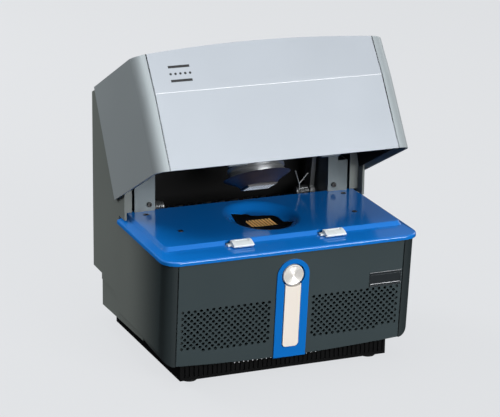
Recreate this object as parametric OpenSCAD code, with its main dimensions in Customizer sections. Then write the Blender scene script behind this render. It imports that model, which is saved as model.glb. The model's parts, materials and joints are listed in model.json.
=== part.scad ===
// Thermal cycler with a hinged lid, drawn with the lid open.
// Origin: bench top, middle of the width and of the depth. +X right, +Y back, +Z up. Millimetres.
// The modules measure y from the deck's front edge; the last block moves them to the origin.

/* [Body] */
// deck width, side to side
deck_w = 345; // [320:1:370]
// deck depth, front edge to the rear housing
deck_d = 186; // [170:1:200]
// height of the deck rim's lower edge
rim_z = 169.3; // [150:0.1:190]
// height of the flat band round the plateau
band_z = 177.6; // [160:0.1:200]
// height of the plateau
plateau_z = 183.1; // [165:0.1:205]
// corner radius of the deck in plan
deck_r = 22; // [12:1:30]
// width of the dark body shell
shell_w = 341; // [316:1:366]
// corner radius of the body shell
shell_r = 18; // [10:1:26]
// backward lean of the front panel towards its foot, degrees
lean_a = 4.75; // [0:0.05:8]
// half distance between the two front seams
seam_x = 153.1; // [140:0.1:160]
// wall thickness of the plastic shells
wall = 3; // [2:0.1:4]

/* [Plinth] */
// half width of the plinth at the front
plinth_x = 141.8; // [130:0.1:150]
// how far the plinth is set back
plinth_y = 32.4; // [20:0.1:45]
// foot height
foot_h = 5; // [3:0.5:9]
// slot pitch of the plinth's ribs
rib_pitch = 6.2; // [5:0.1:9]

/* [Rear housing] */
// outer half width of the rear housing
rear_x = 168.5; // [155:0.1:180]
// overall depth at the back
rear_y = 306; // [290:1:320]
// underside height of the overhang
rear_z = 76; // [60:1:90]
// radius of the barrel top about the hinge
barrel_r = 161; // [150:0.5:170]

/* [Lid] */
// hinge axis, distance from the deck's front edge
hinge_y = 228; // [215:0.5:240]
// hinge axis height
hinge_z = 172; // [160:0.5:185]
// how far the lid is open in the drawn pose, degrees
open_a = 27.8; // [0:0.1:27.8]
// outer half width of the lid
lid_x = 171.5; // [160:0.1:180]
// half distance between the lid's seams
lid_seam = 153.8; // [140:0.1:160]
// skin thickness of the lid
lid_t = 2.3; // [1.5:0.1:3]
// lower lean of the lid's front, degrees
lid_lean1 = 6.98; // [0:0.01:12]
// upper lean of the lid's front, degrees
lid_lean2 = 11.66; // [0:0.01:20]
// crown height of the lid's middle at its front edge
crown_z = 338.7; // [325:0.1:345]

/* [Block] */
// centre of the block, from the deck's front edge
block_y = 117; // [100:1:130]
// height of the block's top
block_z = 173; // [165:0.5:180]
// well pitch
well_pitch = 4.5; // [4.5:0.1:9]
// wells across
well_nx = 8; // [2:1:12]
// wells deep
well_ny = 6; // [2:1:8]

/* [Controls] */
// release button radius
button_r = 14; // [10:0.5:18]
// half width of the front trim
trim_x = 21.8; // [16:0.1:28]
// grille hole radius
hole_r = 2.1; // [1.5:0.1:3]
// grille hole pitch
hole_pitch = 8.3; // [7:0.1:10]

/* [Hidden] */
mid_y = rear_y/2;
dw = deck_w/2;
sw = shell_w/2;
// front panel's surface at its top edge, and its length in the middle
lean_y = 7.4;
lean_z = rim_z - 0.3;
panel_len = 143.5;
// button centre below the panel's top edge
btn_s = 31.6;
// feet, pan posts and the flange over the plinth
foot_x = 124;
foot_ys = [48, 246];
post_x = 134;
flange_z = 39.8;
// outer and inner half width of the skirt
skirt_x = 165.4;
skirt_in = 163.2;
// underside and top of the steel deck
steel_z = 146;
steel_top = 148.02;
// latch bolts and deck screws
bolt_x = 62.5;
screw_spots = [[139, 168], [120, 91]];
// uprights: inner face, outer face and front face
up_x0 = 122;
up_x1 = 150;
up_y = 181.7;
// hinge pins and lid arms
pin_r = 5;
arm_x0 = 113;
arm_x1 = 119;
// cooling fans
fan_y = 118;
fan_r = 40;
fan_half = 43;
rfan_x = -60;
rfan_z = 225;
// joint between the rear panel and the socket plate, and the sockets' height
split_z = 146;
socket_z = 122;
// lens band, its guide pins, and how far the lens hangs below its seat
lens_r = 37.4;
seat_x = 23.3;
float_drop = 9;
$fn = 96;

// ---------- helpers ----------
module xprism(x0, x1) {
    translate([x0, 0, 0]) rotate([90, 0, 90]) linear_extrude(x1-x0) children();
}

module yprism(y0, y1) {
    translate([0, y1, 0]) rotate([90, 0, 0]) linear_extrude(y1-y0) children();
}

module bx(x0, x1, y0, y1, z0, z1) {
    translate([x0, y0, z0]) cube([x1-x0, y1-y0, z1-z0]);
}

module xcyl(x0, x1, y, z, r) {
    translate([x0, y, z]) rotate([0, 90, 0]) cylinder(h=x1-x0, r=r);
}

module ycyl(x, y0, y1, z, r) {
    translate([x, y1, z]) rotate([90, 0, 0]) cylinder(h=y1-y0, r=r);
}

module zcyl(x, y, z0, z1, r) {
    translate([x, y, z0]) cylinder(h=z1-z0, r=r);
}

// plan with two rounded front corners
module plan(w, y0, y1, r) {
    translate([-w, y0+r]) square([2*w, y1-y0-r]);
    translate([-w+r, y0]) square([2*w-2*r, y1-y0]);
    translate([-w+r, y0+r]) circle(r);
    translate([w-r, y0+r]) circle(r);
}

// frame of the leaning front panel: x across, y into the body, z up from the panel's top edge
module leaning() {
    translate([0, lean_y, lean_z]) rotate([lean_a, 0, 0]) children();
}

// closed lid frame to the drawn pose
module opened() {
    translate([0, hinge_y, hinge_z]) rotate([-open_a, 0, 0]) translate([0, -hinge_y, -hinge_z])
        children();
}

module mirrored() {
    children();
    mirror([1, 0, 0]) children();
}

// the lens and heated window hang lower by this much while the lid is open
module floated()
    opened() translate([0, 0, -float_drop]) children();

// ring coils joined by a straight wire, standing on z = 0
module coils(r, w, n, p) {
    for (i=[0:n-1]) translate([0, 0, w+i*p]) rotate_extrude() translate([r, 0]) circle(w, $fn=24);
    translate([r, 0, w]) cylinder(h=(n-1)*p, r=w*0.8, $fn=24);
}

// socket head screw, head's top at z = 0, pointing down
module screw(r=3, h=3, len=8) {
    difference() {
        union() {
            translate([0, 0, -h]) cylinder(h=h, r=r, $fn=48);
            translate([0, 0, -h-len]) cylinder(h=len+0.1, r=r*0.5, $fn=32);
        }
        translate([0, 0, -h*0.6]) cylinder(h=h, r=r*0.5, $fn=6);
    }
}

// ---------- base ----------
module base_pan() color("#2a2c2e") {
    difference() {
        union() {
            bx(-138.4, 138.4, plinth_y+3.3, 258.6, foot_h+5, foot_h+8);
            for (sx=[-1, 1]) for (y=foot_ys) zcyl(sx*foot_x, y, foot_h, foot_h+6, 12.5);
            for (sx=[-1, 1]) for (y=[86, 252]) zcyl(sx*post_x, y, foot_h+7, steel_z-0.02, 5);
        }
        for (sx=[-1, 1]) for (y=foot_ys) zcyl(sx*foot_x, y, foot_h-1, foot_h+2, 11.2);
        for (i=[-9:9]) bx(i*11-3, i*11+3, 44, 74, foot_h+4, foot_h+9);
    }
}

module plinth_outline(d, w)
    polygon([[-w, plinth_y+d], [w, plinth_y+d], [w+7-d*0.3, 262-d], [-w-7+d*0.3, 262-d]]);

module plinth() color("#121314") {
    difference() {
        union() {
            translate([0, 0, foot_h]) linear_extrude(34.9) plinth_outline(0, plinth_x);
            // flange that closes the gap under the skirt
            translate([0, 0, flange_z]) linear_extrude(1.6) {
                translate([-150.5, 36]) square([301, 226]);
                translate([-162.9, 104.6]) square([325.8, 157]);
            }
        }
        translate([0, 0, foot_h-1]) linear_extrude(50) plinth_outline(3.2, plinth_x-3.2);
        for (i=[-22:22])
            bx(i*rib_pitch-1.7, i*rib_pitch+1.7, plinth_y-1, plinth_y+1.9, foot_h+4, foot_h+30);
        for (sx=[-1, 1]) for (i=[0:9]) bx(sx*150-12, sx*150+12, 70+i*12, 75+i*12, foot_h+14, foot_h+27);
    }
}

module rubber_feet()
    color("#0c0c0d") for (sx=[-1, 1]) for (y=foot_ys) difference() {
        translate([sx*foot_x, y, 0]) union() {
            cylinder(h=2, r1=9.5, r2=11);
            translate([0, 0, 2]) cylinder(h=foot_h, r=11);
        }
        translate([sx*foot_x, y, -1]) cylinder(h=3, r=3.5);
    }

module shell_cut_profile()
    polygon([[-5, 30.5], [26, 30.5], [42, 37], [60, 40], [100, 46], [188.6, 46], [188.6, 169.0],
        [-5, 169.0]]);

module base_shell() color("#54595b") {
    intersection() {
        difference() {
            union() {
                leaning() translate([0, 0, -180]) linear_extrude(220) plan(sw, 0, 260, shell_r);
            }
            leaning() translate([0, 0, -181]) linear_extrude(222) plan(sw-wall, wall, 262, shell_r-wall);
            leaning() bx(-seam_x, seam_x, -5, 20, -200, 40);
        }
        xprism(-200, 200) shell_cut_profile();
        // rounded lower front corners
        yprism(-10, 190) union() {
            translate([-sw, 49.5]) square([2*sw, 130]);
            translate([-sw+19, 30]) square([2*sw-38, 150]);
            for (s=[-1, 1]) translate([s*(sw-19), 49.5]) circle(19);
        }
    }
    // inner flanges behind the seams
    leaning() for (s=[-1, 1]) translate([s>0?seam_x-9:-seam_x-6, wall+0.02, -130]) cube([15, 2, 124]);
}

module skirt_outline(y0, y1)
    polygon([[y0, 40.3-(y0-20)*0.047], [y1, 40.3-(y1-20)*0.047], [y1, y1>200?75.9:66], [y0, 66]]);

module chassis_skirt() color("#4a4f4e") {
    difference() {
        union() {
            xprism(-skirt_x, skirt_x)
                polygon([[104, 36.3], [270, 28.6], [270, 75.9], [188, 75.9], [188, 66], [104, 66]]);
            intersection() {
                xprism(-skirt_x, skirt_x) skirt_outline(30, 104.1);
                yprism(20, 110) union() {
                    translate([-skirt_x, 53]) square([2*skirt_x, 20]);
                    translate([-150.9, 30]) square([301.8, 40]);
                    for (s=[-1, 1]) translate([s*150.9, 53]) circle(14.5);
                }
            }
        }
        xprism(-skirt_in, skirt_in) polygon([[80, 20], [80, 150], [267.8, 150], [267.8, 20]]);
        intersection() {
            xprism(-skirt_in, skirt_in) polygon([[10, 20], [10, 150], [80.1, 150], [80.1, 20]]);
            yprism(0, 110) union() {
                translate([-skirt_in, 53]) square([2*skirt_in, 40]);
                translate([-150.9, 20]) square([301.8, 60]);
                for (s=[-1, 1]) translate([s*150.9, 53]) circle(12.3);
            }
        }
        // intake slots low in the rear wall
        for (i=[-6:6]) bx(i*18-6, i*18+6, 260, 280, 50, 56);
        for (i=[-6:6]) bx(i*18-6, i*18+6, 260, 280, 62, 68);
    }
}

module chassis_deck() color("#6d7173") {
    for (s=[-1, 1]) bx(s*40-5, s*40+5, 46.1, 48.1, 147.9, 165);
    difference() {
        bx(-163, 163, 30, 267.6, 146, 148);
        bx(-51, 51, 67, 169, 140, 150);
        for (s=[-1, 1]) bx(s*141-9, s*141+9, 190, 215, 140, 150);
        bx(-20, 20, 215, 245, 140, 150);
        bx(-22, 22, 29, 46, 140, 150);
        for (s=[-1, 1]) zcyl(s*post_x, 232, 140, 150, 2);
    }
}

module bulkhead() color("#1b1c1d") difference() {
    union() {
        bx(-158, 158, 262, 263.5, 148, 300);
        bx(-158, 158, 254, 262, 148, 149.6);
    }
    for (i=[-6:6]) bx(i*20-7, i*20+7, 255, 270, 152, 160);
}

// ---------- front ----------
module grille(s) {
    for (i=[0:14]) for (j=[0:7]) {
        x = 30.2 + i*hole_pitch*0.995;
        z = 65.5 + j*hole_pitch;
        lim = 123.6 - pow(x/150, 2)*6.5;
        if (z < lim) translate([s*x, -z]) circle(hole_r, $fn=24);
        if (i<14 && z+hole_pitch/2 < lim) translate([s*(x+hole_pitch*0.4975), -z-hole_pitch/2])
            circle(hole_r, $fn=24);
    }
}

module panel_outline(m) intersection() {
    translate([-seam_x+m, -150]) square([2*(seam_x-m), 150]);
    translate([0, 2250-panel_len+m-0.2]) circle(2250, $fn=400);
}

module front_panel()
    color("#3c464b") leaning() translate([0, wall, 0]) rotate([90, 0, 0]) difference() {
        union() {
            linear_extrude(wall) panel_outline(0.35);
            translate([0, 0, -6]) linear_extrude(6.1) translate([-seam_x+12, -6])
                square([2*seam_x-24, 3]);
        }
        translate([0, 0, -1]) linear_extrude(wall+2) {
            grille(1);
            grille(-1);
        }
        // seat of the centre trim
        translate([0, 0, -1]) linear_extrude(wall+2) {
            translate([0, -btn_s]) circle(trim_x-2.2);
            translate([-trim_x+2.2, -160]) square([2*trim_x-4.4, 160-btn_s]);
        }
        // badge recess
        translate([106.3, -62.5, wall-0.8]) cube([44.4, 20.2, 2]);
    }

module trim_outline(m) {
    translate([0, -btn_s]) circle(trim_x-m);
    translate([-trim_x+m, -(panel_len+0.6)+m]) square([2*(trim_x-m), panel_len+0.6-btn_s-m]);
}

module front_trim()
    color("#1278c2") leaning() translate([0, wall, 0]) rotate([90, 0, 0]) difference() {
        union() {
            translate([0, 0, wall+0.05]) linear_extrude(1.8) trim_outline(0);
            translate([0, 0, -5]) linear_extrude(wall+5.1) trim_outline(2.5);
        }
        // keyhole recess: round well, then the bar's slot
        translate([0, -btn_s, -3.6]) cylinder(h=12, r=button_r+1.8);
        linear_extrude(10) {
            bar_outline(11.4, 130.4);
            translate([-11.4, -btn_s-30]) square([22.8, 30]);
        }
        // button shaft bore
        translate([0, -btn_s, -6]) cylinder(h=10, r=6.3);
    }

module bar_outline(w, end) {
    translate([-w, -end+5]) square([2*w, end-5-btn_s-6]);
    translate([-w+5, -end]) square([2*w-10, 20]);
    for (s=[-1, 1]) translate([s*(w-5), -end+5]) circle(5);
}

module light_bar()
    color("#ddd8cc") leaning() translate([0, wall, 0]) rotate([90, 0, 0]) difference() {
        translate([0, 0, 0.02]) linear_extrude(6) bar_outline(10.7, 129.6);
        translate([0, -btn_s, -1]) cylinder(h=10, r=button_r+1.9);
    }

module badge_plate()
    color("#b9bdc0") leaning() translate([0, wall, 0]) rotate([90, 0, 0]) difference() {
        translate([106.6, -62.2, wall-0.78]) cube([43.8, 19.6, 1.5]);
        translate([107.8, -61, wall+0.5]) cube([41.4, 14.2, 1]);
        translate([107.8, -45.8, wall+0.5]) cube([41.4, 2, 1]);
    }

module button_guide() color("#26282a") leaning() {
    difference() {
        translate([0, 8.02, -btn_s]) rotate([-90, 0, 0]) cylinder(h=12.4, r=11);
        translate([0, 7, -btn_s]) rotate([-90, 0, 0]) cylinder(h=20, r=5.06);
        translate([0, 7, -btn_s]) rotate([-90, 0, 0]) cylinder(h=11.5, r=8.2);
    }
    bx(-19, 19, 18.5, 20.4, -btn_s-14, -btn_s-10);
    bx(-19, -16, 8.02, 20.4, -btn_s-14, -btn_s+10);
    bx(16, 19, 8.02, 20.4, -btn_s-14, -btn_s+10);
    bx(-19, 19, 18.5, 20.4, -btn_s+10, -btn_s+13);
    difference() {
        bx(-19, 19, 18.5, 20.4, -btn_s-14, -btn_s+13);
        translate([0, 7, -btn_s]) rotate([-90, 0, 0]) cylinder(h=20, r=9);
    }
}

// ---------- button and latch ----------
module release_button()
    color("#d8d6cf") leaning() translate([0, -2.2, -btn_s]) rotate([-90, 0, 0]) difference() {
        union() {
            cylinder(h=1, r1=button_r-1, r2=button_r);
            translate([0, 0, 1]) cylinder(h=3.4, r=button_r);
            translate([0, 0, 4.3]) cylinder(h=21.9, r=5);
            translate([0, 0, 10.9]) cylinder(h=1, r=7.4);
        }
        translate([0, 0, -13.1]) sphere(r=14);
    }

module button_spring()
    color("#9a9da0") leaning() translate([0, 9.75, -btn_s]) rotate([-90, 0, 0]) coils(6.3, 0.5, 4, 2.55);

module latch_bar() color("#8d9295") {
    bx(-84, 84, 28, 38, 158, 162);
    bx(-11, 11, 34.6, 38, 124, 159);
    for (s=[-1, 1]) bx(s*bolt_x-5, s*bolt_x+5, 30, 37, 161.9, 175);
}

module latch_bolts()
    color("#e9e9e6") for (s=[-1, 1]) translate([s*bolt_x, 0, 0]) difference() {
        union() {
            xprism(-13.5, 13.5)
                polygon([[18.2, 179.6], [20.8, 179.6], [20.8, 177.9], [33.6, 177.9], [33.6, 184.4],
                    [27.5, 184.4], [18.2, 181]]);
            xprism(-18.5, -13.4) polygon([[27, 177.9], [33.6, 177.9], [33.6, 180.4], [27, 180.4]]);
        }
        bx(-5.1, 5.1, 29.9, 37.1, 170, 175.05);
        bx(-9, 9, 24, 31, 183.6, 186);
    }

module latch_springs()
    color("#9a9da0") for (s=[-1, 1]) translate([s*40, 38.05, 160]) rotate([-90, 0, 0])
        coils(3.2, 0.6, 5, 1.7);

// ---------- deck ----------
module plateau_solid(i) intersection() {
    xprism(-170, 170)
        polygon([[34.5+i, 169-i*3], [34.5+i, band_z-i*0.9], [38+i, plateau_z-i], [deck_d+i, plateau_z-i],
            [deck_d+i, 169-i*3]]);
    yprism(0, deck_d+5)
        polygon([[-163+i, 160], [-163+i, band_z-i*0.9], [-159.3+i, plateau_z-i], [159.3-i, plateau_z-i],
            [163-i, band_z-i*0.9], [163-i, 160]]);
}

module cutout(k)
    translate([-2, 108]) scale([k, k]) translate([2, -108])
        polygon([[-30, 150], [-8, 154], [-4, 145], [12, 141], [25, 136], [28, 126], [28, 104], [33, 100],
            [33, 88], [26, 80], [20, 68], [-6, 68], [-10, 73], [-27, 78], [-38, 92], [-36, 112],
            [-32, 130]]);

module deck_cover() color("#0e4a94") difference() {
    union() {
        difference() {
            union() {
                translate([0, 0, rim_z]) linear_extrude(4.6) plan(dw, 0, deck_d, deck_r);
                translate([0, 0, rim_z+4.5]) linear_extrude(2.1) plan(dw-1, 1, deck_d, deck_r-1);
                translate([0, 0, rim_z+6.5]) linear_extrude(band_z-rim_z-6.5)
                    plan(dw-2.6, 2.6, deck_d, deck_r-2.6);
            }
            translate([0, 0, rim_z-1]) linear_extrude(band_z-rim_z-1.4) plan(dw-3, 3, deck_d+1, deck_r-3);
            bx(-160, 160, 37.5, deck_d+1, 160, 179);
        }
        difference() {
            plateau_solid(0);
            plateau_solid(2.6);
            bx(-160, 160, 37.5, deck_d+1, 160, 179);
        }
        // bowl of the dish
        translate([0, block_y, 175.4]) scale([0.77, 1, 1]) cylinder(h=5.3, r=62);
    }
    translate([0, block_y, 177.5]) scale([0.75, 1, 1]) cylinder(h=5.7, r1=51, r2=60.2);
    translate([0, 0, 170]) linear_extrude(20) cutout(1);
    // latch bolt notches and stem slots
    for (s=[-1, 1]) {
        bx(s*bolt_x-(s>0?19:19), s*bolt_x+14, 30, 38.4, band_z+0.02, 190);
        bx(s*bolt_x-5.6, s*bolt_x+5.6, 29, 42.5, 165, 190);
    }
    // screw dimples
    for (s=[-1, 1]) for (p=screw_spots) {
        zcyl(s*p[0], p[1], plateau_z-1.2, plateau_z+1, 4.6);
        zcyl(s*p[0], p[1], 170, 190, 2.2);
    }
    // clearance round the uprights' rear flanges
    for (s=[-1, 1]) bx(s*136-15, s*136+15, 181, 190, 160, 175);
}

module deck_screws()
    color("#16181a") for (s=[-1, 1]) for (p=screw_spots) translate([s*p[0], p[1], plateau_z+0.6])
        screw(3.6, 1.7, 6);

module block_surround() color("#0f1011") difference() {
    union() {
        bx(-40, 40, 62, 160, 167, 173.2);
        for (sx=[-1, 1]) for (y=[74, 158]) zcyl(sx*35, y, 157.02, 167.1, 3);
        translate([0, 0, 173]) linear_extrude(3.4) cutout(0.95);
        for (p=[[-22, 142], [18, 76]]) zcyl(p[0], p[1], 176.3, 177.2, 3.4);
    }
    bx(-19.1, 19.1, block_y-15.1, block_y+15.1, 160, 180);
    bx(-24.6, 24.6, block_y-19, block_y+19, 173.1, 180);
    for (x=[-14, 14]) bx(x-3, x+3, block_y+16, block_y+30, 174.8, 180);
}

module thermal_block() color("#c79a3a") difference() {
    union() {
        bx(-18.6, 18.6, block_y-14.6, block_y+14.6, 161, 165);
        bx(-18, 18, block_y-13.5, block_y+13.5, 164.9, block_z);
    }
    for (i=[0:well_nx-1]) for (j=[0:well_ny-1])
        translate([(i-(well_nx-1)/2)*well_pitch, block_y+(j-(well_ny-1)/2)*well_pitch, block_z-6.5])
        cylinder(h=6.6, r1=0.9, r2=1.75, $fn=32);
    for (i=[0:well_nx-2])
        bx((i-(well_nx-2)/2)*well_pitch-0.25, (i-(well_nx-2)/2)*well_pitch+0.25, block_y-20, block_y+20,
            171.6, 180);
}

module peltier_modules()
    color("#e4e4df") for (s=[-1, 1]) union() {
        bx(s>0?0.3:-18.3, s>0?18.3:-0.3, block_y-14, block_y+14, 157.02, 158);
        bx(s>0?1.2:-17.4, s>0?17.4:-1.2, block_y-13, block_y+13, 157.9, 160.1);
        bx(s>0?0.3:-18.3, s>0?18.3:-0.3, block_y-14, block_y+14, 160, 160.98);
    }

module heat_sink() color("#a9adb0") union() {
    bx(-49, 49, 69, 167, 150, 157);
    bx(-53, 53, 72, 78, steel_top, 151);
    bx(-53, 53, 158, 164, steel_top, 151);
    for (i=[0:15]) bx(-47.4+i*6.2, -45.6+i*6.2, 71, 165, 112, 150.1);
}

module fan_box(h, r, hw) difference() {
    union() {
        linear_extrude(h) difference() {
            square([2*hw, 2*hw], center=true);
            circle(r+0.9);
            for (a=[0:3]) rotate(a*90+45) translate([hw*1.24, 0]) circle(2.2, $fn=24);
        }
        linear_extrude(2.4) {
            circle(14.5);
            for (a=[0:3]) rotate(a*90+20) translate([10, -2.2]) square([r-7, 4.4]);
        }
    }
    translate([0, 0, -1]) cylinder(h=5, r=2);
}

module rotor(h, r) {
    difference() {
        cylinder(h=h, r=14);
        translate([0, 0, -1]) cylinder(h=h-1.5, r=11);
    }
    translate([0, 0, -3]) cylinder(h=h+2, r=1.95);
    for (a=[0:6]) rotate(a*360/7) translate([13, 0, h/2]) rotate([38, 0, 0]) translate([0, -0.8, -h*0.46])
        cube([r-13.4, 1.6, h*0.92]);
}

module fan_frame() color("#17181a") translate([0, fan_y, 84]) {
    fan_box(26, fan_r, fan_half);
    for (a=[0:3]) rotate(a*90+45) translate([fan_half*1.24, 0, 25.9]) cylinder(h=2.05, r=3, $fn=24);
    for (s=[-1, 1]) translate([s*38-3, -43, -70.98]) cube([6, 3, 71.1]);
    for (s=[-1, 1]) translate([s*38-3, 40, -70.98]) cube([6, 3, 71.1]);
}

module fan_rotor()
    color("#202224") translate([0, fan_y, 84+3.4]) rotor(20, fan_r);

module rear_fan_frame()
    color("#17181a") translate([rfan_x, rear_y-5.65, rfan_z]) rotate([90, 0, 0])
        fan_box(26, fan_r, fan_half);

module rear_fan_rotor()
    color("#202224") translate([rfan_x, rear_y-5.65-3.4, rfan_z]) rotate([90, 0, 0]) rotor(20, fan_r);

module main_board() color("#1d5a34") {
    bx(-126, -58, 70, 246, 40, 41.6);
    for (p=[[-120, 78], [-64, 78], [-120, 240], [-64, 240]]) zcyl(p[0], p[1], foot_h+8.02, 40.1, 3);
    bx(-118, -94, 110, 136, 41.5, 46);
    bx(-85, -70, 110, 125, 41.5, 44);
    bx(-122, -104, 190, 230, 41.5, 52);
    bx(-90, -78, 170, 190, 41.5, 45);
    for (i=[0:4]) zcyl(-118+i*12, 160, 41.5, 56, 4);
}

module power_supply() color("#a3a7a9") difference() {
    union() {
        bx(46, 124, 80, 250, foot_h+8.02, 62);
        for (y=[105, 235]) bx(43, 127, y-4, y+4, foot_h+8.02, foot_h+9.6);
    }
    for (i=[0:9]) bx(56, 114, 100+i*14, 104+i*14, 60, 70);
    bx(48, 122, 82, 248, foot_h+10, 60.4);
}

// ---------- uprights and hinge ----------
module bracket() {
    difference() {
        union() {
            bx(up_x0, up_x1, up_y, 183.5, plateau_z+0.02, 236);
            xprism(122, 124)
                polygon([[up_y, plateau_z+0.02], [188, plateau_z+0.02], [188, steel_top],
                    [246, steel_top], [246, 190], [215, 236], [up_y, 236]]);
            bx(148.2, 150, 183.4, 206, 186.5, 236);
            bx(122, 146, 196, 246, steel_top, 149.8);
            bx(122, 150, 183.4, 206, 234.2, 236);
        }
        xcyl(100, 200, hinge_y, hinge_z, pin_r-0.0);
        ycyl(130, 170, 190, 192, 2.2);
        bx(136, 151, 181, 207, 225, 240);
        zcyl(134, 232, 140, 155, 2.2);
    }
}

module bracket_left()
    color("#a8adad") mirror([1, 0, 0]) bracket();

module bracket_right()
    color("#a8adad") bracket();

module bracket_screws() color("#141414") mirrored() {
    translate([130, 178.9, 192]) rotate([90, 0, 0]) translate([0, 0, 0]) screw(3.2, 2.75, 6);
    translate([134, 232, 152.6]) screw(3.6, 2.75, 4);
}

module hinge_pins()
    color("#c2c5c8") mirrored() union() {
        xcyl(96, 121.95, hinge_y, hinge_z, pin_r);
        xcyl(121.9, 124.1, hinge_y, hinge_z, pin_r-0.02);
        xcyl(124.02, 128, hinge_y, hinge_z, 8);
        xcyl(95, 97, hinge_y, hinge_z, 6.4);
    }

module torsion_springs() color("#8f9396") mirrored() {
    translate([99, hinge_y, hinge_z]) rotate([0, 90, 0]) coils(7.4, 0.9, 6, 2.1);
    translate([110.4, hinge_y, hinge_z+7.4]) rotate([-104, 0, 0]) cylinder(h=24, r=0.8, $fn=24);
}

// ---------- rear ----------
module rear_side(i) intersection() {
    translate([hinge_y, hinge_z]) circle(barrel_r-i, $fn=200);
    difference() {
        polygon([[167+i, 178.6], [188.9+i, 178.6], [188.9+i, 47], [201-i, 47], [201-i, 56], [213, 68+i],
            [263+i, 68+i], [263+i, rear_z+i], [rear_y-i, rear_z+i], [rear_y-i, 340], [192, 340],
            [167+i, 300]]);
        translate([213, 56]) circle(12+i);
    }
}

module rear_housing() color("#4d514e") difference() {
    union() {
        difference() {
            intersection() {
                xprism(-rear_x, rear_x) rear_side(0);
                translate([0, 0, 30]) linear_extrude(340) translate([0, rear_y+120]) mirror([0, 1])
                    plan(rear_x, 120, 300, 9);
            }
            intersection() {
                xprism(-rear_x+wall, rear_x-wall) rear_side(wall);
                translate([0, 0, 30]) linear_extrude(340) translate([0, rear_y+120]) mirror([0, 1])
                    plan(rear_x-wall, 120+wall, 310, 6);
            }
            // open front
            bx(-rear_x+wall, rear_x-wall, 150, 196, 50, 340);
            bx(-rear_x+wall, rear_x-wall, 150, 210, 30, 315);
            bx(-rear_x+wall-0.02, rear_x-wall+0.02, 185, 268, 30, 82);
        }
        // front flanges beside the uprights
        for (s=[-1, 1])
            bx(s>0?153.5:-rear_x+wall-0.1, s>0?rear_x-wall+0.1:-153.5, 181.7, 183.7, 183.6, 250);
    }
    // opening for the rear panel
    bx(-150, 150, rear_y-5, rear_y+5, 92, 290);
    // slots in the overhang's underside
    for (i=[-8:8]) bx(i*16-5, i*16+5, 278, 298, 70, 82);
}

module rear_panel() color("#5a5f60") difference() {
    union() {
        bx(-156, 156, rear_y-5.6, rear_y-3.02, split_z, 296);
        for (s=[-1, 1]) bx(s>0?118:-120, s>0?120:-118, rear_y-13, rear_y-5.5, split_z+6, 280);
    }
    ycyl(rfan_x, 290, 310, rfan_z, 38);
    for (i=[0:9]) bx(30, 130, 290, 310, 192+i*9, 196+i*9);
    for (s=[-1, 1]) ycyl(s*143, 290, 310, 280, 2);
}

module socket_plate() color("#4e5354") difference() {
    bx(-156, 156, rear_y-5.6, rear_y-3.02, 86, split_z-0.3);
    bx(80, 108, 290, 310, 110, 134);
    bx(44, 66, 290, 310, 110, 134);
    bx(-24, 8, 290, 310, 116, 128);
    for (s=[-1, 1]) ycyl(s*143, 290, 310, 98, 2);
}

module rear_panel_screws()
    color("#1a1c1d") for (s=[-1, 1]) for (z=[98, 280]) translate([s*143, rear_y-0.9, z])
        rotate([-90, 0, 0]) screw(3.2, 2.1, 4);

module power_inlet() {
    color("#c8cccf") inlet_pins();
    color("#111213") inlet_body();
}

module inlet_body() difference() {
    union() {
        bx(80.1, 107.9, rear_y-26, rear_y-2.9, 110.1, 133.9);
        bx(76, 112, rear_y-2.98, rear_y-0.6, 106, 138);
    }
    bx(83, 105, rear_y-18, rear_y+5, 113, 131);
    for (x=[-1, 1]) ycyl(94+x*16, 290, 310, 134.5, 1.2);
}

module inlet_pins()
    for (p=[[-7, -1.5], [0, 3], [7, -1.5]])
        bx(94+p[0]-1, 94+p[0]+1, rear_y-18.1, rear_y-8, 122+p[1]-2, 122+p[1]+2);

module power_switch() color("#b03226") difference() {
    xprism(46.2, 63.8) translate([rear_y-9, socket_z]) circle(8.6);
    xprism(40, 70) translate([rear_y-9, socket_z]) rotate(-8) translate([13.4, 0]) circle(8);
    xcyl(40, 70, rear_y-9, socket_z, 1.06);
}

module switch_frame() color("#111213") {
    xcyl(45.5, 64.5, rear_y-9, socket_z, 1);
    switch_box();
}

module switch_box() difference() {
    union() {
        bx(44.1, 65.9, rear_y-19.2, rear_y-2.9, 112.1, 131.9);
        bx(42, 68, rear_y-2.98, rear_y-1.6, 109, 135);
    }
    bx(46, 64, rear_y-18.2, rear_y+5, 113.2, 130.8);
}

module data_socket() color("#8b9094") {
    difference() {
        union() {
            bx(-23.8, 7.8, rear_y-18, rear_y-3.1, 116.2, 127.8);
        }
        bx(-21, -9, rear_y-14, rear_y, 118, 126.4);
        bx(-6, 6, rear_y-14, rear_y, 118, 126.4);
    }
}

// ---------- lid ----------
module lid_solid(i) intersection() {
    translate([0, 6.5, 178.5]) rotate([-lid_lean1, 0, 0]) translate([0, 0, -60]) linear_extrude(300)
        plan(lid_x-i, i, 320, 16-i);
    translate([0, 18.7, 278.2]) rotate([-lid_lean2, 0, 0]) translate([0, 0, -160]) linear_extrude(300)
        plan(lid_x-i, i, 320, 16-i);
    translate([0, 32, crown_z-i]) rotate([1.47, 0, 0]) translate([0, 260, -1650]) rotate([90, 0, 0])
        cylinder(h=330, r=1650, $fn=720);
    if (i==0) xprism(-190, 190) polygon([[-5, 178.5], [190.2, 180.6], [203.2, 350], [-5, 350]]);
    if (i>0) xprism(-190, 190) polygon([[-10, 150], [260, 150], [260, 350], [-10, 350]]);
}

module lid_shell() difference() {
    lid_solid(0);
    lid_solid(lid_t);
}

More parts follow.
